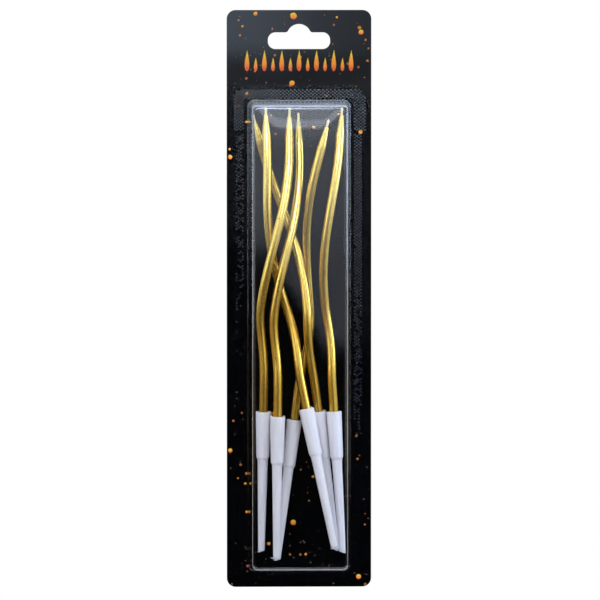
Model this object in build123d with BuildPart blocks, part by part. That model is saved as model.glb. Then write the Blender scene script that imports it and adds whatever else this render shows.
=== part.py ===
from build123d import *
import math
import os

# Carded blister pack of six spiral candles, each standing in a spiked cake holder.
# Millimetres, +X to the right, +Z up, the front faces -Y.
# The origin is the top of the hang slot, where a hook bears, on the card's back face.

# Backing card
card_width = 65.0
card_height = 260.0
card_thickness = 0.5
card_corner = 4.0
card_above_slot = 6.3

# Hang slot: a long bar with a round dome over its middle
slot_width = 28.0
slot_height = 11.25
bar_height = 7.5
bar_corner = 3.4
dome_radius = 5.5
dome_blend = 1.5

# Clear blister: a deep tray on a flat flange that is sealed to the card
sheet = 0.3
flange_margin = 1.0
flange_drop = 27.5
flange_corner = 3.0
flange_clip = 7.0
tray_width = 46.0
tray_drop = 34.3
tray_end_margin = 7.4
tray_room = 17.0
tray_corner = 3.0
tray_draft = 5.3
tray_edge = 1.5

# Candle: a straight foot, a spiral that swells out of it, a cone and a wick
candle_diameter = 4.0
foot_depth = 16.0
body_height = 124.0
cone_length = 9.0
cone_end_diameter = 1.8
helix_radius = 3.25
helix_pitch = 125.0
swell_start = 12.0
swell_length = 37.0
bend_angle = 5.0
bend_way = -28.0
spine_runs = 8
arc_share = 0.45
wick_diameter = 1.2
wick_stub = 3.5

# Holder: a cup for the candle's foot on a spike for the cake
rim_diameter = 6.9
cup_end_diameter = 5.8
cup_length = 21.5
shoulder_height = 1.6
spike_top_diameter = 4.6
spike_end_diameter = 2.9
holder_length = 64.0
gate_diameter = 1.5
gate_length = 0.8
mouth_diameter = 5.5
gate_round = 0.2
spike_round = 0.3
waist_round = 0.8
shoulder_round = 1.2
rim_round = 0.2
seat_clearance = 0.1
floor_gap = 0.1

# Where each candle lies, from left to right along the holders' rims.
# The rim's centre: x as a share of the tray's width, depth as a share of the tray's room,
# and height over the tray's lower end in holder lengths. Then lean to the right, tilt to the front and turn.
layout = [
    (-0.353, 0.426, 1.130, 0.75, 3.75, 50.0),
    (-0.217, 0.647, 1.098, 0.5, -0.25, 60.0),
    (-0.049, 0.250, 1.067, 7.0, -0.75, 275.0),
    (0.065, 0.618, 1.153, -11.25, -3.5, 325.0),
    (0.185, 0.338, 1.130, -7.5, 3.0, 175.0),
    (0.335, 0.485, 1.130, -3.5, -0.5, 355.0),
]

tray_end = card_height - card_above_slot - tray_end_margin
tray_length = tray_end - tray_drop
card_front = Plane.XZ.offset(card_thickness)
card_middle_z = card_above_slot - card_height / 2


def rim_plane(across, deep, high, lean, tilt, turn):
    """The plane of a holder's rim, with its normal up along the candle's foot."""
    x = across * tray_width
    y = -card_thickness - deep * tray_room
    z = high * holder_length - tray_end
    return Plane(Pos(x, y, z) * Rot(X=tilt) * Rot(Y=lean) * Rot(Z=turn))


def spine_point(height):
    """A point of the candle's centre line, at a height over the holder's rim."""
    swell = min(max((height - swell_start) / swell_length, 0.0), 1.0)
    radius = helix_radius * swell**2 * (3 - 2 * swell)
    past_swell = max(height - swell_start - swell_length, 0.0)
    bent_run = swell_length * (swell**3 - swell**4 / 2) + past_swell
    drift = math.tan(math.radians(bend_angle)) * bent_run
    angle = math.radians(360 * height / helix_pitch)
    way = math.radians(bend_way)
    x = radius * math.cos(angle) + drift * math.cos(way)
    y = radius * math.sin(angle) + drift * math.sin(way)
    return (x, y, height)


def spine_points(rim):
    """The corners of the centre line, from the foot's end to the cone."""
    run = (body_height - swell_start) / spine_runs
    heights = [-foot_depth]
    for step in range(spine_runs + 1):
        heights.append(swell_start + step * run)
    return [rim.from_local_coords(Vector(spine_point(height))) for height in heights]


def spine_radii(points):
    """The arcs at the inner corners, each as large as its two runs allow."""
    radii = []
    for before, corner, after in zip(points, points[1:], points[2:]):
        first = corner - before
        second = after - corner
        half_turn = math.radians(first.get_angle(second) / 2)
        radii.append(arc_share * min(first.length, second.length) / math.tan(half_turn))
    return radii


# The slot's outline, with the dome blended into the bar
with BuildSketch() as slot:
    with Locations((0, bar_height / 2 - slot_height)):
        RectangleRounded(slot_width, bar_height, bar_corner)
    with Locations((0, -dome_radius)):
        Circle(dome_radius)
    bar_top = bar_height - slot_height
    notches = [v for v in slot.vertices() if abs(v.Y - bar_top) < 0.01 and abs(v.X) < dome_radius]
    fillet(notches, dome_blend)

with BuildPart() as card:
    with BuildSketch(Plane.XZ):
        with Locations((0, card_middle_z)):
            RectangleRounded(card_width, card_height, card_corner)
        add(slot.sketch, mode=Mode.SUBTRACT)
    extrude(amount=card_thickness)
card.part.label = "card"

flange_width = card_width - 2 * flange_margin
flange_height = card_height - card_above_slot - flange_drop - flange_margin
tray_middle_z = -tray_drop - tray_length / 2

# The room inside the tray
with BuildPart() as room:
    with BuildSketch(card_front):
        with Locations((0, tray_middle_z)):
            RectangleRounded(tray_width - 2 * sheet, tray_length - 2 * sheet, tray_corner - sheet)
    extrude(amount=tray_room, taper=tray_draft)
    room_face = room.faces().sort_by(Axis.Y)[0]
    fillet(room_face.edges(), tray_edge - sheet)

with BuildPart() as blister:
    with BuildSketch(card_front) as flange:
        with Locations((0, -flange_drop - flange_height / 2)):
            Rectangle(flange_width, flange_height)
        corners = sorted(flange.vertices(), key=lambda v: v.X + v.Y)
        fillet(corners[:3], flange_corner)
        top_right = max(flange.vertices(), key=lambda v: v.X + v.Y)
        chamfer(top_right, flange_clip)
    extrude(amount=sheet)
    with BuildSketch(card_front):
        with Locations((0, tray_middle_z)):
            RectangleRounded(tray_width, tray_length, tray_corner)
    extrude(amount=tray_room + sheet, taper=tray_draft)
    tray_face = blister.faces().sort_by(Axis.Y)[0]
    fillet(tray_face.edges(), tray_edge)
    add(room.part, mode=Mode.SUBTRACT)
blister.part.label = "blister"

os.makedirs("parts", exist_ok=True)
export_step(card.part, "parts/card.step")
export_step(blister.part, "parts/blister.step")

seat_diameter = candle_diameter + 2 * seat_clearance
socket_depth = foot_depth + floor_gap
spike_end_depth = holder_length - gate_length
holder_rounds = [0, gate_round, 0, spike_round, waist_round, shoulder_round, rim_round, rim_round, 0, 0]

for number, place in enumerate(layout, start=1):
    rim = rim_plane(*place)
    points = spine_points(rim)
    radii = spine_radii(points)
    along_tip = (points[-1] - points[-2]).normalized()
    wick_end = points[-1] + along_tip * (cone_length + wick_stub)
    root = Plane(origin=points[0], z_dir=points[1] - points[0])
    crown = Plane(origin=points[-1], z_dir=along_tip)
    print("candle", number, "arc radii", [round(radius) for radius in radii])

    with BuildPart() as wick:
        with BuildLine() as core:
            FilletPolyline(*points[:-1], wick_end, radius=radii)
        with BuildSketch(root):
            Circle(wick_diameter / 2)
        sweep(path=core.wire())
    wick.part.label = f"wick_{number}"
    export_step(wick.part, f"parts/wick_{number}.step")

    with BuildPart() as candle:
        with BuildLine() as spine:
            FilletPolyline(*points, radius=radii)
        with BuildSketch(root):
            Circle(candle_diameter / 2)
        sweep(path=spine.wire())
        with BuildSketch(crown):
            Circle(candle_diameter / 2)
        with BuildSketch(crown.offset(cone_length)):
            Circle(cone_end_diameter / 2)
        loft()
        add(wick.part, mode=Mode.SUBTRACT)
    candle.part.label = f"candle_{number}"
    export_step(candle.part, f"parts/candle_{number}.step")

    with BuildPart() as holder:
        with BuildSketch(Plane(origin=rim.origin, x_dir=rim.x_dir, z_dir=-rim.y_dir)):
            with BuildLine():
                FilletPolyline(
                    (0, -holder_length),
                    (gate_diameter / 2, -holder_length),
                    (gate_diameter / 2, -spike_end_depth),
                    (spike_end_diameter / 2, -spike_end_depth),
                    (spike_top_diameter / 2, -cup_length),
                    (cup_end_diameter / 2, shoulder_height - cup_length),
                    (rim_diameter / 2, 0),
                    (mouth_diameter / 2, 0),
                    (seat_diameter / 2, -socket_depth),
                    (0, -socket_depth),
                    radius=holder_rounds,
                    close=True,
                )
            make_face()
        revolve(axis=Axis(rim.origin, rim.z_dir))
    holder.part.label = f"holder_{number}"
    export_step(holder.part, f"parts/holder_{number}.step")
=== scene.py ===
import bpy
import bmesh
import math
from mathutils import Matrix, Vector, noise


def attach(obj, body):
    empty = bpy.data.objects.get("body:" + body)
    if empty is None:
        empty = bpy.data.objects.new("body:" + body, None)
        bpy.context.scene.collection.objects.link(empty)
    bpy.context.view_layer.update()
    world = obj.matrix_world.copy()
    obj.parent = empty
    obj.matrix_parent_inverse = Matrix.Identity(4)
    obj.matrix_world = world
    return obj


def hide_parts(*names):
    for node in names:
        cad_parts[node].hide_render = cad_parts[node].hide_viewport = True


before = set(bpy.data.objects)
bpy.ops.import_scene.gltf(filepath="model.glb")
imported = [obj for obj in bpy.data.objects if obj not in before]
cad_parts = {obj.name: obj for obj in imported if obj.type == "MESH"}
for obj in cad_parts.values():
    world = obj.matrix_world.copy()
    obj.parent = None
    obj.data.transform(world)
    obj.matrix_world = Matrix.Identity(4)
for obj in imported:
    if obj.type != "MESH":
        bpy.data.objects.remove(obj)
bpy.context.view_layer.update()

# All lengths below are in millimetres, turned into metres when a mesh is made
MM = 0.001
card_front = -0.5


# Camera, a little over and to the left of the card's middle
camera_distance = 4000.0
camera_rise = math.radians(3.5)
camera_swing = math.radians(-2.0)
picture_width = 270.0
sensor_width = 36.0
picture_middle = Vector((0.45, card_front, -124.2))
camera_data = bpy.data.cameras.new("camera")
camera_data.sensor_width = sensor_width
camera_data.lens = sensor_width * camera_distance / picture_width
camera_data.clip_start = 0.01
camera_data.clip_end = 30.0
camera = bpy.data.objects.new("camera", camera_data)
flat_way = Vector((math.sin(camera_swing), -math.cos(camera_swing), 0)) * math.cos(camera_rise)
camera_way = flat_way + Vector((0, 0, math.sin(camera_rise)))
camera.location = (picture_middle + camera_way * camera_distance) * MM
camera.rotation_euler = (-camera_way).to_track_quat("-Z", "Y").to_euler()
bpy.context.scene.collection.objects.link(camera)
bpy.context.scene.camera = camera
bpy.context.scene.view_settings.view_transform = "Standard"


# Node helpers
def new_material(name):
    """A material and its node tree, with a principled shader in it."""
    material = bpy.data.materials.new(name)
    material.use_nodes = True
    return material, material.node_tree


def shader_of(tree):
    return tree.nodes["Principled BSDF"]


def put(tree, socket, value):
    """Links a socket's value, or sets it."""
    if isinstance(value, bpy.types.NodeSocket):
        tree.links.new(value, socket)
    else:
        socket.default_value = value


def node(tree, kind, inputs=None, **settings):
    """A new node with its settings and inputs. Returns its outputs."""
    made = tree.nodes.new("ShaderNode" + kind)
    for key, value in settings.items():
        setattr(made, key, value)
    for key, value in (inputs or {}).items():
        put(tree, made.inputs[key], value)
    return made.outputs


def mix(tree, factor, first, second):
    """Blends two colours."""
    return node(tree, "Mix", {0: factor, 6: first, 7: second}, data_type="RGBA")[2]


def ramp(tree, value, low, high, out_low=0.0, out_high=1.0):
    """A smooth step of a value."""
    inputs = {"Value": value, "From Min": low, "From Max": high, "To Min": out_low, "To Max": out_high}
    return node(tree, "MapRange", inputs, interpolation_type="SMOOTHSTEP")[0]


def sums(tree, operation, first, second):
    return node(tree, "Math", {0: first, 1: second}, operation=operation)[0]


def place(tree):
    """The point in the part's frame, in metres."""
    return node(tree, "TexCoord")["Object"]


def grain(tree, vector, size, detail=4.0, roughness=0.55):
    """Noise whose blobs are about that size in millimetres."""
    inputs = {"Vector": vector, "Scale": 1.0 / (size * MM), "Detail": detail, "Roughness": roughness}
    return node(tree, "TexNoise", inputs)[0]


def bump(tree, height, distance, strength=1.0):
    """A normal from a height between 0 and 1, with its depth in millimetres."""
    return node(tree, "Bump", {"Height": height, "Distance": distance * MM, "Strength": strength})[0]


# Materials
def speckles(tree, where, spacing, dot, share, seed):
    """Round dots on an uneven grid: 1 inside a dot, and the dot's own random number."""
    cell = node(tree, "VectorMath", {0: where, 1: (seed, 0.0, seed)}, operation="ADD")[0]
    inputs = {"Vector": cell, "Scale": 1.0 / (spacing * MM), "Randomness": 1.0}
    voronoi = node(tree, "TexVoronoi", inputs, voronoi_dimensions="3D")
    chance = node(tree, "SeparateColor", {0: voronoi["Color"]})
    width = ramp(tree, chance[1], 0.0, 1.0, dot / spacing * 0.3, dot / spacing * 0.6)
    inside = sums(tree, "LESS_THAN", voronoi["Distance"], width)
    kept = sums(tree, "LESS_THAN", chance[0], share)
    return sums(tree, "MULTIPLY", inside, kept), chance[2]


def card_material():
    """Gloss print on black board: gold and ember specks, grey board on the edges and the back."""
    material, tree = new_material("gloss_black_card")
    shader = shader_of(tree)
    where = place(tree)
    flat = node(tree, "VectorMath", {0: where, 1: (1.0, 0.0, 1.0)}, operation="MULTIPLY")[0]
    spot = node(tree, "SeparateXYZ", {0: where})
    way = node(tree, "SeparateXYZ", {0: node(tree, "NewGeometry")["Normal"]})
    ink = mix(tree, grain(tree, flat, 9.0), (0.0012, 0.0013, 0.0018, 1), (0.0022, 0.0024, 0.0032, 1))
    # The specks gather at the card's two ends
    upper = ramp(tree, spot[2], -0.075, -0.02)
    lower = ramp(tree, spot[2], -0.16, -0.21)
    ends = sums(tree, "MAXIMUM", upper, lower)
    colour = ink
    # Each layer: the cells' spacing, the dot's size, the share of cells with a dot, a shift and two inks
    layers = [
        (7.0, 1.5, 0.5, 0.31, (0.62, 0.19, 0.03, 1), (0.75, 0.36, 0.05, 1)),
        (3.8, 0.95, 0.5, 1.73, (0.36, 0.11, 0.045, 1), (0.5, 0.2, 0.05, 1)),
        (2.2, 0.6, 0.6, 2.57, (0.10, 0.055, 0.04, 1), (0.16, 0.10, 0.07, 1)),
    ]
    for spacing, dot, share, seed, first, second in layers:
        seen, chance = speckles(tree, flat, spacing, dot, share, seed)
        near_end = sums(tree, "GREATER_THAN", ends, sums(tree, "MULTIPLY", chance, 0.9))
        shown = sums(tree, "MULTIPLY", seen, near_end)
        colour = mix(tree, shown, colour, mix(tree, chance, first, second))
    fibre = mix(tree, grain(tree, where, 0.35), (0.30, 0.285, 0.26, 1), (0.44, 0.425, 0.395, 1))
    printed = sums(tree, "LESS_THAN", way[1], -0.5)
    put(tree, shader.inputs["Base Color"], mix(tree, printed, fibre, colour))
    smooth = ramp(tree, grain(tree, flat, 22.0), 0.3, 0.7, 0.06, 0.12)
    rough = node(tree, "Mix", {0: printed, 2: 0.85, 3: smooth})[0]
    put(tree, shader.inputs["Roughness"], rough)
    shader.inputs["Specular IOR Level"].default_value = 0.066
    tooth = bump(tree, grain(tree, where, 0.5, 5.0), 0.004)
    warp = {"Height": grain(tree, flat, 45.0, 1.0), "Distance": 0.35 * MM, "Normal": tooth}
    put(tree, shader.inputs["Normal"], node(tree, "Bump", warp)[0])
    return material


def ember_material():
    """Printed gold: yellow on top, orange, then red at the lower edge, by each vertex's own shade."""
    material, tree = new_material("printed_embers")
    shader = shader_of(tree)
    shade = node(tree, "Attribute", attribute_name="shade")["Fac"]
    grit = grain(tree, place(tree), 0.4, 6.0)
    blurred = sums(tree, "ADD", shade, ramp(tree, grit, 0.0, 1.0, -0.12, 0.12))
    warm = mix(tree, ramp(tree, blurred, 0.0, 0.45), (0.78, 0.10, 0.035, 1), (0.96, 0.34, 0.045, 1))
    colour = mix(tree, ramp(tree, blurred, 0.45, 0.95), warm, (0.98, 0.74, 0.06, 1))
    put(tree, shader.inputs["Base Color"], colour)
    put(tree, shader.inputs["Roughness"], ramp(tree, grit, 0.2, 0.8, 0.22, 0.38))
    shader.inputs["Specular IOR Level"].default_value = 0.14
    put(tree, shader.inputs["Normal"], bump(tree, grit, 0.006))
    return material


# The tray's upper end wall, and the height where its milkiness is greatest, in metres
end_wall_foot = -0.0375
end_wall_top = -0.0362
milk_top = -0.03


def clear_material(
    name, rough, wave, depth, clearness=1.0, index=1.46, top_clearness=None, milk_foot=-0.16, end_milk=0.0
):
    """Formed sheet that lets lamps through, with the slow waves of its forming and some milkiness."""
    material, tree = new_material(name)
    shader = shader_of(tree)
    where = place(tree)
    tint = (0.82, 0.89, 1.0, 1) if top_clearness else (0.95, 0.975, 1.0, 1)
    shader.inputs["Base Color"].default_value = tint
    shader.inputs["Transmission Weight"].default_value = clearness
    if top_clearness:
        spot = node(tree, "SeparateXYZ", {0: where})
        level = spot[2]
        milky = ramp(tree, level, end_wall_foot, end_wall_top, 0.0, end_milk)
        if end_milk > 0:
            # Clearer near the card than near the face
            drawn = ramp(tree, spot[1], -0.003, -0.014, 0.2, 1.0)
            milky = sums(tree, "MULTIPLY", milky, drawn)
        clear = ramp(tree, level, milk_foot, milk_top, clearness, top_clearness)
        put(tree, shader.inputs["Transmission Weight"], sums(tree, "SUBTRACT", clear, milky))
    shader.inputs["IOR"].default_value = index
    uneven = ramp(tree, grain(tree, where, 6.0), 0.3, 0.7, rough, rough * 1.2)
    put(tree, shader.inputs["Roughness"], uneven)
    put(tree, shader.inputs["Normal"], bump(tree, grain(tree, where, wave, 2.0), depth))
    through = node(tree, "BsdfTransparent", {"Color": (0.93, 0.94, 0.95, 1)})[0]
    shadow = node(tree, "LightPath")["Is Shadow Ray"]
    blend = node(tree, "MixShader", {0: shadow, 1: shader.outputs[0], 2: through})[0]
    put(tree, tree.nodes["Material Output"].inputs["Surface"], blend)
    return material


def gold_material():
    """Gold lacquer on wax, with painted shade that makes it deeper and more orange low down, and with
    mottling, streaks along the rod and a few dark specks.
    """
    material, tree = new_material("gold_lacquer")
    shader = shader_of(tree)
    rod = node(tree, "Attribute", attribute_name="rod")["Vector"]
    drawn = node(tree, "VectorMath", {0: rod, 1: (1.0, 1.0, 0.06)}, operation="MULTIPLY")[0]
    streak = grain(tree, drawn, 0.55, 3.0)
    mottle = grain(tree, rod, 0.4, 5.0, 0.7)
    cloud = grain(tree, rod, 7.0, 3.0)
    level = node(tree, "SeparateXYZ", {0: place(tree)})[2]
    # Painted shade: the gold's colour turns deeper and more orange towards the candles' lower part
    low = ramp(tree, level, -0.08, -0.14)
    pale = mix(tree, cloud, (0.91, 0.68, 0.165, 1), (0.94, 0.74, 0.22, 1))
    pale = mix(tree, low, pale, (0.86, 0.55, 0.085, 1))
    deep = mix(tree, cloud, (0.46, 0.26, 0.025, 1), (0.54, 0.33, 0.045, 1))
    marks = sums(tree, "ADD", sums(tree, "MULTIPLY", streak, 0.45), mottle)
    tone = ramp(tree, marks, 0.46, 0.83)
    colour = mix(tree, tone, deep, pale)
    seen, _ = speckles(tree, rod, 2.1, 0.5, 0.16, 0.63)
    colour = mix(tree, sums(tree, "MULTIPLY", seen, 0.85), colour, (0.05, 0.03, 0.012, 1))
    put(tree, shader.inputs["Base Color"], colour)
    shader.inputs["Metallic"].default_value = 0.92
    put(tree, shader.inputs["Roughness"], ramp(tree, mottle, 0.3, 0.75, 0.17, 0.26))
    shader.inputs["Coat Weight"].default_value = 0.3
    shader.inputs["Coat Roughness"].default_value = 0.1
    height = sums(tree, "ADD", mottle, sums(tree, "MULTIPLY", streak, 0.4))
    put(tree, shader.inputs["Normal"], bump(tree, height, 0.01))
    return material


def wick_material():
    """Waxed cotton with a breath of the gold on it."""
    material, tree = new_material("waxed_cotton")
    shader = shader_of(tree)
    rod = node(tree, "Attribute", attribute_name="rod")["Vector"]
    thread = grain(tree, rod, 0.12, 5.0, 0.7)
    colour = mix(tree, ramp(tree, thread, 0.3, 0.7), (0.62, 0.47, 0.17, 1), (0.88, 0.78, 0.47, 1))
    put(tree, shader.inputs["Base Color"], colour)
    put(tree, shader.inputs["Roughness"], ramp(tree, thread, 0.2, 0.8, 0.5, 0.8))
    put(tree, shader.inputs["Normal"], bump(tree, thread, 0.05))
    return material


def plastic_material():
    """White moulded plastic, a little see-through, with faint flow marks and dust."""
    material, tree = new_material("white_plastic")
    shader = shader_of(tree)
    rod = node(tree, "Attribute", attribute_name="rod")["Vector"]
    drawn = node(tree, "VectorMath", {0: rod, 1: (1.0, 1.0, 0.08)}, operation="MULTIPLY")[0]
    flow = grain(tree, drawn, 1.2, 4.0)
    skin = grain(tree, rod, 0.25, 4.0)
    colour = mix(tree, ramp(tree, flow, 0.3, 0.7), (0.76, 0.725, 0.77, 1), (0.84, 0.805, 0.845, 1))
    seen, _ = speckles(tree, rod, 3.0, 0.45, 0.06, 0.29)
    colour = mix(tree, sums(tree, "MULTIPLY", seen, 0.5), colour, (0.42, 0.36, 0.25, 1))
    put(tree, shader.inputs["Base Color"], colour)
    put(tree, shader.inputs["Roughness"], ramp(tree, skin, 0.3, 0.7, 0.30, 0.44))
    shader.inputs["Subsurface Weight"].default_value = 0.25
    shader.inputs["Subsurface Radius"].default_value = (1.0, 0.9, 1.0)
    shader.inputs["Subsurface Scale"].default_value = 0.0012
    height = sums(tree, "ADD", skin, sums(tree, "MULTIPLY", flow, 1.5))
    put(tree, shader.inputs["Normal"], bump(tree, height, 0.012))
    return material


card_look = card_material()
ember_look = ember_material()
sheet_look = clear_material("clear_sheet", 0.02, 14.0, 0.03)
wall_look = clear_material(
    "drawn_wall", 0.05, 4.0, 0.015, top_clearness=0.9, milk_foot=-0.115, end_milk=0.2
)
seal_look = clear_material("sealed_flange", 0.06, 6.0, 0.01, index=1.1)
bond_look = clear_material("bonded_back", 0.02, 6.0, 0.005, index=1.01)
knurl_look = clear_material(
    "pressed_knurl", 0.28, 1.5, 0.005, clearness=0.975, index=1.5, top_clearness=0.91, end_milk=-0.02
)
gold_look = gold_material()
wick_look = wick_material()
plastic_look = plastic_material()


# Mesh helpers
def make_piece(name, points, faces, look, body, sharp=40.0, attributes=None):
    """A piece from points in millimetres, that rides on a body."""
    mesh = bpy.data.meshes.new(name)
    mesh.from_pydata([Vector(p) * MM for p in points], [], faces)
    for key, (kind, values) in (attributes or {}).items():
        layer = mesh.attributes.new(key, kind, "POINT")
        for slot, value in zip(layer.data, values):
            if kind == "FLOAT_VECTOR":
                slot.vector = Vector(value) * MM
            else:
                slot.value = value
    cleaner = bmesh.new()
    cleaner.from_mesh(mesh)
    bmesh.ops.recalc_face_normals(cleaner, faces=cleaner.faces)
    cleaner.to_mesh(mesh)
    cleaner.free()
    mesh.materials.append(look)
    mesh.shade_smooth()
    mesh.set_sharp_from_angle(angle=math.radians(sharp))
    piece = bpy.data.objects.new(name, mesh)
    bpy.context.scene.collection.objects.link(piece)
    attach(piece, body)
    return piece


def ring_faces(rings, count, closed_ends=True):
    """Faces between rings of points, and over the two ends."""
    faces = []
    for row in range(rings - 1):
        for step in range(count):
            after = (step + 1) % count
            first = row * count
            second = first + count
            faces.append((first + step, first + after, second + after, second + step))
    if closed_ends:
        faces.append(tuple(reversed(range(count))))
        faces.append(tuple(range((rings - 1) * count, rings * count)))
    return faces


# Where each candle lies: the rim's centre, then lean, tilt and turn in degrees
tray_width = 46.0
tray_room = 17.0
tray_end = 246.3
holder_length = 64.0
layout = [
    (-0.353, 0.426, 1.130, 0.75, 3.75, 50.0),
    (-0.217, 0.647, 1.098, 0.5, -0.25, 60.0),
    (-0.049, 0.250, 1.067, 7.0, -0.75, 275.0),
    (0.065, 0.618, 1.153, -11.25, -3.5, 325.0),
    (0.185, 0.338, 1.130, -7.5, 3.0, 175.0),
    (0.335, 0.485, 1.130, -3.5, -0.5, 355.0),
]


def rim_matrix(across, deep, high, lean, tilt, turn):
    """The holder's rim: its Z runs up along the candle's foot."""
    x = across * tray_width
    y = card_front - deep * tray_room
    z = high * holder_length - tray_end
    turned = Matrix.Translation((x, y, z))
    for angle, axis in ((tilt, "X"), (lean, "Y"), (turn, "Z")):
        turned = turned @ Matrix.Rotation(math.radians(angle), 4, axis)
    return turned


# Candles: a straight foot, a spiral that swells out of it, a cone
foot_depth = 16.0
body_height = 124.0
cone_length = 9.0
candle_radius = 2.0
cone_end_radius = 0.9
helix_radius = 3.25
helix_pitch = 125.0
swell_start = 12.0
swell_length = 37.0
bend_angle = 5.0
bend_way = -28.0
foot_edge = 0.6
cone_swell = 0.06
wax_unevenness = 0.012
candle_sides = 28
wick_radius = 0.6
wick_stub = 3.5
wick_strands = 3
wick_twist = 1.9
wick_fray = 0.5
wick_sides = 18
# How far apart the rods lie in the patterns of their looks
pattern_shift = 300.0


def spine_point(height):
    """A point of the candle's centre line, at a height over the holder's rim."""
    swell = min(max((height - swell_start) / swell_length, 0.0), 1.0)
    radius = helix_radius * swell**2 * (3 - 2 * swell)
    past_swell = max(height - swell_start - swell_length, 0.0)
    bent_run = swell_length * (swell**3 - swell**4 / 2) + past_swell
    drift = math.tan(math.radians(bend_angle)) * bent_run
    angle = math.radians(360 * height / helix_pitch)
    way = math.radians(bend_way)
    x = radius * math.cos(angle) + drift * math.cos(way)
    y = radius * math.sin(angle) + drift * math.sin(way)
    return Vector((x, y, height))


tip_run = 14.0
tip_start = spine_point(body_height)
tip_way = (tip_start - spine_point(body_height - tip_run)).normalized()


def centre_line(height):
    """The spine, and its straight run past the body's top."""
    if height > body_height:
        return tip_start + tip_way * (height - body_height)
    return spine_point(height)


def swept(heights, radius_at, sides, matrix):
    """Points of a rod along the centre line, and each point's place on the straight rod."""
    points = []
    rod = []
    side = Vector((1, 0, 0))
    for height in heights:
        centre = centre_line(height)
        along = (centre_line(height + 0.5) - centre_line(height - 0.5)).normalized()
        side = (side - along * side.dot(along)).normalized()
        across = along.cross(side)
        for step in range(sides):
            angle = 2 * math.pi * step / sides
            radius = radius_at(height, angle)
            way = side * math.cos(angle) + across * math.sin(angle)
            points.append(matrix @ (centre + way * radius))
            rod.append((radius * math.cos(angle), radius * math.sin(angle), height))
    return points, rod


def steps(start, end, size):
    count = max(1, round((end - start) / size))
    return [start + (end - start) * k / count for k in range(count + 1)]


def shifted(rod, number):
    """Moves a rod's pattern on, so that no two rods wear the same marks."""
    return [(x, y, z + pattern_shift * number) for x, y, z in rod]


def candle_piece(number, matrix):
    def radius_at(height, angle):
        around = Vector((math.cos(angle), math.sin(angle), height / 9.0 + 40.0 * number))
        uneven = 1.0 + wax_unevenness * noise.noise(around * 1.3)
        past = height - body_height
        if past <= 0.0:
            edge = min(1.0, (height + foot_depth) / foot_edge)
            return candle_radius * uneven * (0.86 + 0.14 * math.sqrt(edge))
        share = past / cone_length
        swollen = cone_swell * math.sin(math.pi * share)
        return (candle_radius + (cone_end_radius - candle_radius) * share + swollen) * uneven

    heights = steps(-foot_depth, -foot_depth + foot_edge, 0.2)
    heights += steps(-foot_depth + foot_edge, body_height, 1.0)[1:]
    heights += steps(body_height, body_height + cone_length, 0.75)[1:]
    points, rod = swept(heights, radius_at, candle_sides, matrix)
    faces = ring_faces(len(heights), candle_sides)
    looks = {"rod": ("FLOAT_VECTOR", shifted(rod, number))}
    piece = make_piece(f"candle_{number}_wax", points, faces, gold_look, "pack", 40.0, looks)
    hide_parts(f"candle_{number}")


def wick_piece(number, matrix):
    """A twisted wick of three strands that runs through the candle and stands out of its cone."""
    cone_end = body_height + cone_length
    stub_end = cone_end + wick_stub

    def radius_at(height, angle):
        strand = math.cos(wick_strands * (angle - height * wick_twist))
        fray = 1.0 - 0.35 * max(0.0, (height - stub_end + wick_fray) / wick_fray)
        return wick_radius * (0.9 + 0.1 * strand) * fray

    heights = steps(-foot_depth + 0.5, cone_end - 2.0, 3.0)
    heights += steps(cone_end - 2.0, stub_end, 0.2)[1:]
    points, rod = swept(heights, radius_at, wick_sides, matrix)
    faces = ring_faces(len(heights), wick_sides)
    looks = {"rod": ("FLOAT_VECTOR", shifted(rod, number))}
    piece = make_piece(f"wick_{number}_cotton", points, faces, wick_look, "pack", 60.0, looks)
    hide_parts(f"wick_{number}")


# Holders: a turned profile with the mould's parting ridges, rim flash and a torn gate
spike_end = -63.2
spike_run = 41.7
cup_run = 19.9
socket_depth = 16.1
socket_rings = 12
holder_sides = 64
ridge_height = 0.07
ridge_sharpness = 130.0


def holder_profile():
    """Radius and height from the gate's end over the outside to the socket's floor."""
    profile = [(0.75, -holder_length), (0.75, spike_end), (1.15, spike_end), (1.38, -63.1), (1.45, -62.8)]
    for height in steps(-62.0, -23.0, 3.0):
        profile.append((1.45 + 0.85 * (height - spike_end) / spike_run, height))
    profile += [(2.3, -21.9), (2.32, -21.6), (2.42, -21.35), (2.6, -21.1)]
    profile += [(2.76, -20.8), (2.86, -20.4), (2.9, -19.8)]
    for height in steps(-18.5, -0.6, 1.8):
        profile.append((2.9 + 0.55 * (height + cup_run) / cup_run, height))
    profile += [(3.44, -0.2), (3.38, -0.04), (3.25, 0.0), (2.95, 0.0), (2.8, -0.06), (2.74, -0.25)]
    for height in steps(-1.5, -15.8, 2.4):
        profile.append((2.75 + 0.65 * height / socket_depth, height))
    profile += [(2.1, -socket_depth), (0.6, -socket_depth)]
    return profile


# Rim flash of each holder: its two heights, left and right ridge
rim_flash = [(0.1, 0.12), (0.75, 0.55), (0.1, 0.2), (0.15, 0.8), (0.2, 0.95), (0.3, 0.12)]
# How far each torn gate is pulled to the side
gate_pull = [(-1.2, 0.1), (-1.7, -0.2), (-1.1, 0.1), (-1.2, -0.3), (0.5, 0.2), (1.0, -0.1)]


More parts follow.
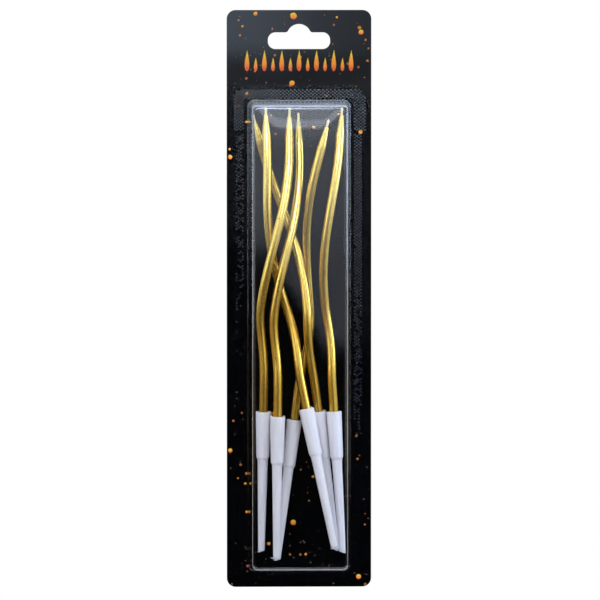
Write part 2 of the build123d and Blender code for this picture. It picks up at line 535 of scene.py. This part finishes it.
def holder_piece(number, place_values):
    across, deep, high, lean, tilt, _ = place_values
    matrix = rim_matrix(across, deep, high, lean, tilt, 0.0)
    profile = holder_profile()
    flash = rim_flash[number - 1]
    pull = gate_pull[number - 1]
    ridge_turn = math.radians(12.0 * number)
    points = []
    rod = []
    for index, (radius, height) in enumerate(profile):
        outside = index < len(profile) - socket_rings
        for step in range(holder_sides):
            angle = 2 * math.pi * step / holder_sides
            right = math.exp(-((1 - math.cos(angle - ridge_turn)) * ridge_sharpness))
            left = math.exp(-((1 + math.cos(angle - ridge_turn)) * ridge_sharpness))
            spread = radius
            raised = height
            if outside and height > -62.9:
                spread += ridge_height * (left + right)
            if height > -0.3 and radius > 2.9:
                raised += flash[0] * left + flash[1] * right
            x = spread * math.cos(angle)
            y = spread * math.sin(angle)
            if height < -63.5:
                torn = noise.noise(Vector((math.cos(angle) * 3, math.sin(angle) * 3, number * 7.0)))
                x = 0.7 * x + pull[0] * (1.0 + 0.7 * torn)
                y = 0.7 * y + pull[1] * (1.0 + 0.7 * torn)
                raised += 0.2 + 0.5 * torn
            points.append(matrix @ Vector((x, y, raised)))
            rod.append((x, y, height))
    faces = ring_faces(len(profile), holder_sides)
    looks = {"rod": ("FLOAT_VECTOR", shifted(rod, number))}
    name = f"holder_{number}_moulded"
    piece = make_piece(name, points, faces, plastic_look, f"holder_{number}", 38.0, looks)
    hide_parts(f"holder_{number}")


for number, values in enumerate(layout, start=1):
    matrix = rim_matrix(*values)
    candle_piece(number, matrix)
    wick_piece(number, matrix)
    holder_piece(number, values)


# Blister: one formed sheet, flange, drafted walls and a crowned face
sheet = 0.28
seal_gap = 0.02
flange_half = 31.5
flange_top = -27.5
flange_low = -252.7
flange_corner = 3.0
flange_clip = 7.0
tray_half = 23.0
tray_top = -34.3
tray_corner = 3.0
wall_slope = math.tan(math.radians(5.3))
tray_edge = 1.5
crown = 0.4
crown_side = 12.0
crown_end = 22.0
wall_facing = 0.93
fold_round = 0.35
fold_steps = 4
edge_steps = 6
face_steps = 10
corner_steps = 8
side_steps = 24


def outline(half, low, high, corner, clip=0.0):
    """Points round a rounded rectangle, with the same count whatever its size."""
    points = []
    centres = [
        (half - corner, high - corner, 0),
        (corner - half, high - corner, 90),
        (corner - half, low + corner, 180),
        (half - corner, low + corner, 270),
    ]
    for index, (x, z, start) in enumerate(centres):
        for step in range(corner_steps + 1):
            angle = math.radians(start + 90 * step / corner_steps)
            point = Vector((x + corner * math.cos(angle), z + corner * math.sin(angle)))
            if clip and index == 0:
                share = step / corner_steps
                point = Vector((half - clip * share, high - clip * (1 - share)))
            points.append(point)
        after = centres[(index + 1) % 4]
        turn = math.radians(start + 90)
        end = Vector((after[0] + corner * math.cos(turn), after[1] + corner * math.sin(turn)))
        first = points[-1]
        for step in range(1, side_steps):
            points.append(first.lerp(end, step / side_steps))
    return points


def tray_ring(inset, depth):
    """The tray's outline drawn in by an inset, at a depth in front of the card."""
    corner = max(tray_corner - inset * 0.5, 0.02)
    half = max(tray_half - inset, 0.05)
    corner = min(corner, half * 0.98)
    points = outline(half, -tray_end + inset, tray_top - inset, corner)
    return [(p.x, card_front - depth, p.y) for p in points]


def crown_drop(x, z, inset):
    """How far the face falls away towards its sides and its ends."""
    from_side = tray_half - inset - abs(x)
    from_end = min(tray_top - inset - z, z + tray_end - inset)
    side_fall = 1 - min(max(from_side / crown_side, 0.0), 1.0)
    end_fall = 1 - min(max(from_end / crown_end, 0.0), 1.0)
    return crown * (1 - (1 - side_fall**2) * (1 - end_fall**2))


def sheet_rings(back):
    """Rings of one side of the sheet, from the flange's edge to the face's middle."""
    skin = seal_gap if back else seal_gap + sheet
    inner = sheet if back else 0.0
    face = tray_room + skin
    edge = tray_edge - inner
    rim = outline(flange_half, flange_low, flange_top, flange_corner, flange_clip)
    rings = [[(p.x, card_front - skin, p.y) for p in rim]]
    foot = fold_round + inner
    rings.append(tray_ring(inner - foot, skin))
    for step in range(1, fold_steps + 1):
        angle = math.radians(90 * step / fold_steps)
        inset = inner - foot + foot * math.sin(angle)
        rings.append(tray_ring(inset, skin + foot * (1 - math.cos(angle))))
    wall_end = face - crown - edge
    for share in (0.12, 0.4, 0.7, 1.0):
        depth = skin + foot + (wall_end - skin - foot) * share
        rings.append(tray_ring(inner + wall_slope * depth, depth))
    top_inset = inner + wall_slope * wall_end
    for step in range(1, edge_steps + 1):
        angle = math.radians(90 * step / edge_steps)
        inset = top_inset + edge * (1 - math.cos(angle))
        rings.append(tray_ring(inset, wall_end + edge * math.sin(angle)))
    flat_inset = top_inset + edge
    span = tray_half - flat_inset
    for step in range(1, face_steps + 1):
        ring = tray_ring(flat_inset + span * (step / face_steps) ** 1.5, 0.0)
        rings.append([(x, card_front - face + crown_drop(x, z, flat_inset), z) for x, _, z in ring])
    return rings


def blister_piece():
    front = sheet_rings(False)
    back = sheet_rings(True)
    count = len(front[0])
    points = []
    for ring in list(reversed(back)) + front:
        points.extend(ring)
    faces = ring_faces(len(front) + len(back), count)
    piece = make_piece("blister_sheet", points, faces, sheet_look, "blister", 30.0)
    for look in (wall_look, seal_look, bond_look):
        piece.data.materials.append(look)
    flange_depth = (card_front - seal_gap - sheet - 0.01) * MM
    for face in piece.data.polygons:
        if abs(face.normal.y) < wall_facing:
            face.material_index = 1
        elif face.center.y > flange_depth:
            face.material_index = 2 if face.normal.y < 0 else 3
    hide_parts("blister")


def knurl_piece():
    """The pressed diamond pattern of the heat seal, a band of low pyramids on the flange."""
    wide = 1.8
    tall = 1.44
    height = 0.38
    band_out = 29.8
    band_in = 24.4
    band_top = -28.9
    band_low = -185.0
    round_out = 5.5
    plate_joint = -48.0
    joint_gap = 1.6
    side_out = 28.6
    fade_start = -60.0
    fade_run = 220.0
    left_share = 0.32
    left_run = 260.0
    half = 0.33
    points = []
    faces = []
    base = card_front - seal_gap - sheet + 0.05
    rows = int((band_top - band_low) / tall * 2)
    columns = int(2 * band_out / wide)
    for row in range(rows):
        for column in range(columns):
            x = -band_out + (column + 0.5 + 0.5 * (row % 2)) * wide
            z = band_top - (row + 1) * tall / 2
            in_band = abs(x) > band_in or z > tray_top + 0.9
            over_x = max(0.0, abs(x) - band_out + round_out)
            over_z = max(0.0, z - band_top + round_out)
            rounded = math.hypot(over_x, over_z) < round_out
            # Under the sealing plate's joint the band is narrower, and pressed less and less evenly
            if z < plate_joint and (z > plate_joint - joint_gap or abs(x) > side_out):
                continue
            fade = (fade_start - z) / fade_run
            if x < 0 and z < plate_joint:
                fade = left_share + (plate_joint - z) / left_run
            patchy = noise.noise(Vector((x / 1.3, z / 1.7, 4.0))) * 0.6 + 0.5
            if not in_band or not rounded or patchy < fade:
                continue
            first = len(points)
            peak = 0.05 + height * (0.75 + 0.4 * min(patchy, 1.0))
            for dx, dz in ((-half, 0), (0, -half), (half, 0), (0, half)):
                points.append((x + dx * wide, base, z + dz * tall))
            points.append((x, base - peak, z))
            for side in range(4):
                faces.append((first + side, first + (side + 1) % 4, first + 4))
            faces.append((first + 3, first + 2, first + 1, first))
    piece = make_piece("blister_seal_knurl", points, faces, knurl_look, "blister", 10.0)
    piece.data.materials.append(bond_look)
    for face in piece.data.polygons:
        face.material_index = 1 if len(face.vertices) == 4 else 0


blister_piece()
knurl_piece()


# The card's print: big gold embers, and a row of flames under the hang slot
print_front = card_front - 0.01
ember_sides = 18
flame_sides = 36


def printed_shapes(name, shapes):
    """Flat shapes on the card's front, each a middle and a rim of points with a shade."""
    points = []
    shades = []
    faces = []
    for rim, middle, lowest, highest in shapes:
        first = len(points)
        for x, z in [middle] + rim:
            points.append((x, print_front, z))
            shades.append((z - lowest) / (highest - lowest))
        count = len(rim)
        for step in range(count):
            faces.append((first, first + 1 + step, first + 1 + (step + 1) % count))
    piece = make_piece(name, points, faces, ember_look, "pack", 30.0, {"shade": ("FLOAT", shades)})


def ember(x, z, size):
    rim = []
    for step in range(ember_sides):
        angle = 2 * math.pi * step / ember_sides
        around = Vector((math.cos(angle) * 1.5 + x, math.sin(angle) * 1.5, z))
        wobble = 1.0 + 0.1 * noise.noise(around)
        rim.append((x + size / 2 * wobble * math.cos(angle), z + size / 2 * wobble * math.sin(angle)))
    return rim, (x, z), z - size * 0.55, z + size * 0.55


def flame(x, foot, height, width):
    """A drop that swells low down and ends in a point that leans a little."""
    rim = []
    for step in range(flame_sides):
        turn = 2 * math.pi * step / flame_sides
        share = 0.5 - 0.5 * math.cos(turn)
        bulge = math.sin(turn) * (1.0 - share) ** 0.75
        rim.append((x + width * bulge + 0.10 * width * share**2, foot + height * share))
    return rim, (x, foot + 0.35 * height), foot, foot + height


# Each ember: across, height and size
embers = [
    (-2.5, 3.6, 3.0), (27.9, -3.7, 2.2), (-3.1, -26.6, 2.3), (-19.6, 4.7, 1.7),
    (17.0, 3.0, 1.0), (-31.0, -59.8, 2.0), (-31.2, -56.2, 1.1), (-31.0, -192.0, 1.9),
    (-2.6, -224.6, 2.4), (26.9, -249.2, 2.2), (-13.6, -234.2, 1.6), (3.0, -239.0, 1.1),
    (6.3, -204.0, 1.2), (-24.2, -207.0, 1.1), (-23.6, -219.8, 1.2), (-23.4, -31.2, 1.2),
    (-23.6, -44.0, 1.1), (6.6, -46.4, 1.3), (17.8, -40.6, 1.0), (-25.4, -1.0, 1.0),
]
printed_shapes("card_embers", [ember(x, z, size) for x, z, size in embers])

flame_count = 13
flame_start = -23.4
flame_pitch = 3.9
flame_foot = -21.2
tall_flame = (9.6, 1.5)
short_flame = (6.2, 1.15)
flames = []
for index in range(flame_count):
    height, width = short_flame if index % 2 else tall_flame
    flames.append(flame(flame_start + index * flame_pitch, flame_foot, height, width))
printed_shapes("card_flame_border", flames)

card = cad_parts["card"]
card.data.materials.clear()
card.data.materials.append(card_look)


# Stage and light
def stage_object(name, points, faces, look):
    mesh = bpy.data.meshes.new(name)
    mesh.from_pydata([Vector(p) for p in points], [], faces)
    mesh.materials.append(look)
    thing = bpy.data.objects.new(name, mesh)
    bpy.context.scene.collection.objects.link(thing)
    return thing


def seen_rays(tree):
    """1 for rays from the camera, from gloss and through glass."""
    path = node(tree, "LightPath")
    direct = sums(tree, "MAXIMUM", path["Is Camera Ray"], path["Is Glossy Ray"])
    return sums(tree, "MAXIMUM", direct, path["Is Transmission Ray"])


# A round pale floor that melts into the white round it
floor_look, tree = new_material("pale_floor")
shader = shader_of(tree)
shader.inputs["Base Color"].default_value = (0.86, 0.86, 0.86, 1)
shader.inputs["Roughness"].default_value = 0.9
seen = seen_rays(tree)
glow = node(tree, "Emission", {"Color": (1, 1, 1, 1), "Strength": sums(tree, "MULTIPLY", seen, 0.45)})[0]
lit = node(tree, "AddShader", {0: shader.outputs[0], 1: glow})[0]
flat = node(tree, "VectorMath", {0: place(tree), 1: (1.0, 1.0, 0.0)}, operation="MULTIPLY")[0]
away = node(tree, "VectorMath", {0: flat}, operation="LENGTH")["Value"]
melted = sums(tree, "MULTIPLY", ramp(tree, away, 0.12, 0.27), seen)
white = node(tree, "Emission", {"Color": (1, 1, 1, 1), "Strength": 1.0})[0]
both = node(tree, "MixShader", {0: melted, 1: lit, 2: white})[0]
put(tree, tree.nodes["Material Output"].inputs["Surface"], both)
floor_level = -0.32
floor_radius = 0.3
floor_sides = 64
floor_round = []
for step in range(floor_sides):
    angle = 2 * math.pi * step / floor_sides
    floor_round.append((floor_radius * math.cos(angle), floor_radius * math.sin(angle), floor_level))
stage_object("floor", floor_round, [tuple(range(floor_sides))], floor_look)

# A dark studio flag round the front, seen only in gloss, with a lit window over its middle
flag_look, tree = new_material("studio_flag")
spot = node(tree, "SeparateXYZ", {0: place(tree)})
across = spot[0]
level = spot[2]
slanted = sums(tree, "SUBTRACT", level, ramp(tree, across, -0.013, 0.03, -0.115, -0.162))
cut = ramp(tree, slanted, -0.008, 0.008, 0.0, 0.45)
rise = ramp(tree, level, -0.14, -0.07, 0.0, 0.35)
# The window's lower edge sags in the middle, and a darker bar lies over it
off_middle = sums(tree, "SUBTRACT", across, 0.017)
squared = sums(tree, "MULTIPLY", off_middle, off_middle)
bow = sums(tree, "MULTIPLY", squared, 4.5)
sagging = sums(tree, "SUBTRACT", level, bow)
upper = ramp(tree, level, -0.068, -0.044, 0.0, 0.6)
pane = ramp(tree, sagging, -0.0482, -0.0446, 0.0, 2.0)
bar = ramp(tree, sagging, -0.0400, -0.0370, 0.0, -1.4)
over = ramp(tree, level, -0.05, -0.03, 0.0, 0.6)
lamp_edge = ramp(tree, level, -0.0265, -0.0205)
lamp = sums(tree, "MULTIPLY", lamp_edge, ramp(tree, across, -0.024, 0.045, 10.5, 2.3))
# The flag's two sides glow softly, less so low down
fade = ramp(tree, level, -0.25, -0.2, 0.15, 1.25)
left_wing = sums(tree, "MULTIPLY", ramp(tree, across, -0.04, -0.12, 0.005, 0.32), fade)
right_wing = sums(tree, "MULTIPLY", ramp(tree, across, 0.06, 0.14, 0.005, 0.6), fade)
window = cut
for share in (rise, upper, pane, bar, over):
    window = sums(tree, "ADD", window, share)
cool = node(tree, "Emission", {"Color": (0.9, 0.97, 1.1, 1), "Strength": window})[0]
blue = node(tree, "Emission", {"Color": (0.8, 0.96, 1.2, 1), "Strength": lamp})[0]
warm = node(tree, "Emission", {"Color": (1.0, 0.71, 0.4, 1), "Strength": left_wing})[0]
plain = node(tree, "Emission", {"Color": (1.0, 0.92, 0.82, 1), "Strength": right_wing})[0]
wings = node(tree, "AddShader", {0: warm, 1: plain})[0]
front = node(tree, "AddShader", {0: cool, 1: blue})[0]
lit = node(tree, "AddShader", {0: front, 1: wings})[0]
# Rays that haven't bounced yet pass through the flag
path = node(tree, "LightPath")
bounces = sums(tree, "ADD", path["Glossy Depth"], path["Diffuse Depth"])
mirrored = sums(tree, "GREATER_THAN", bounces, 0.5)
clear = node(tree, "BsdfTransparent")[0]
shown = node(tree, "MixShader", {0: mirrored, 1: clear, 2: lit})[0]
put(tree, tree.nodes["Material Output"].inputs["Surface"], shown)
flag_radius = 0.3
flag_foot = -0.6
# The flag's upper edge: degrees from the front, and height
flag_tops = [(0, 0.06), (12, 0.06), (13, -0.116), (25, -0.13), (50, -0.146), (88, -0.158), (125, -0.168)]
flag_edge = [(-turn, top) for turn, top in reversed(flag_tops[1:])] + flag_tops
flag_points = []
flag_faces = []
for column, (turn, top) in enumerate(flag_edge):
    x = flag_radius * math.sin(math.radians(turn))
    y = -flag_radius * math.cos(math.radians(turn))
    flag_points += [(x, y, flag_foot), (x, y, top)]
    if column:
        flag_faces.append((2 * column - 2, 2 * column, 2 * column + 1, 2 * column - 1))
flag = stage_object("studio_flag", flag_points, flag_faces, flag_look)
flag.visible_camera = False
flag.visible_diffuse = False
flag.visible_shadow = False

world = bpy.data.worlds.new("studio")
bpy.context.scene.world = world
world.use_nodes = True
tree = world.node_tree
soft = tree.nodes["Background"]
soft.inputs["Color"].default_value = (0.97, 0.97, 1.0, 1)
soft.inputs["Strength"].default_value = 0.18
white = node(tree, "Background", {"Color": (1, 1, 1, 1), "Strength": 1.0})[0]
blend = node(tree, "MixShader", {0: seen_rays(tree), 1: soft.outputs[0], 2: white})[0]
put(tree, tree.nodes["World Output"].inputs["Surface"], blend)


def softbox(name, spot, target, width, height, radiance, mirrored=True, tint=(1.0, 1.0, 1.0)):
    """A lamp of an even radiance, where 1 looks white in a mirror."""
    lamp = bpy.data.lights.new(name, "AREA")
    lamp.shape = "RECTANGLE"
    lamp.size = width
    lamp.size_y = height
    lamp.energy = radiance * math.pi * width * height
    lamp.color = tint
    thing = bpy.data.objects.new(name, lamp)
    thing.location = spot
    aim = Vector(target) - Vector(spot)
    thing.rotation_euler = aim.to_track_quat("-Z", "Y").to_euler()
    thing.visible_camera = False
    thing.visible_glossy = mirrored
    bpy.context.scene.collection.objects.link(thing)


middle = (0.0, 0.0, -0.12)
upper_part = (0.02, 0.0, -0.06)
window_tint = (0.6, 0.78, 1.0)
glow_tint = (0.72, 0.84, 1.0)
softbox("top_front", (0.0, -0.75, 0.75), middle, 1.5, 0.7, 0.75)
softbox("left", (-0.8, -0.5, 0.15), middle, 0.5, 0.8, 0.9, mirrored=False)
softbox("front_fill", (0.1, -1.5, 0.25), middle, 0.8, 0.8, 1.18, mirrored=False)
softbox("right_window", (0.25, -0.14, -0.045), upper_part, 0.12, 0.18, 2.4, tint=window_tint)
softbox("right_glow", (0.28, -0.05, -0.045), upper_part, 0.12, 0.16, 5.5, mirrored=False, tint=glow_tint)
softbox("left_strip", (-0.5, -0.2, -0.05), (0.0, 0.0, -0.1), 0.03, 0.4, 3.2)
softbox("top_strip", (0.0, -0.18, 0.35), (0.0, 0.0, -0.03), 0.3, 0.14, 4.0)
softbox("back_fill", (-0.4, 1.2, 0.4), middle, 0.8, 0.8, 1.6, mirrored=False)
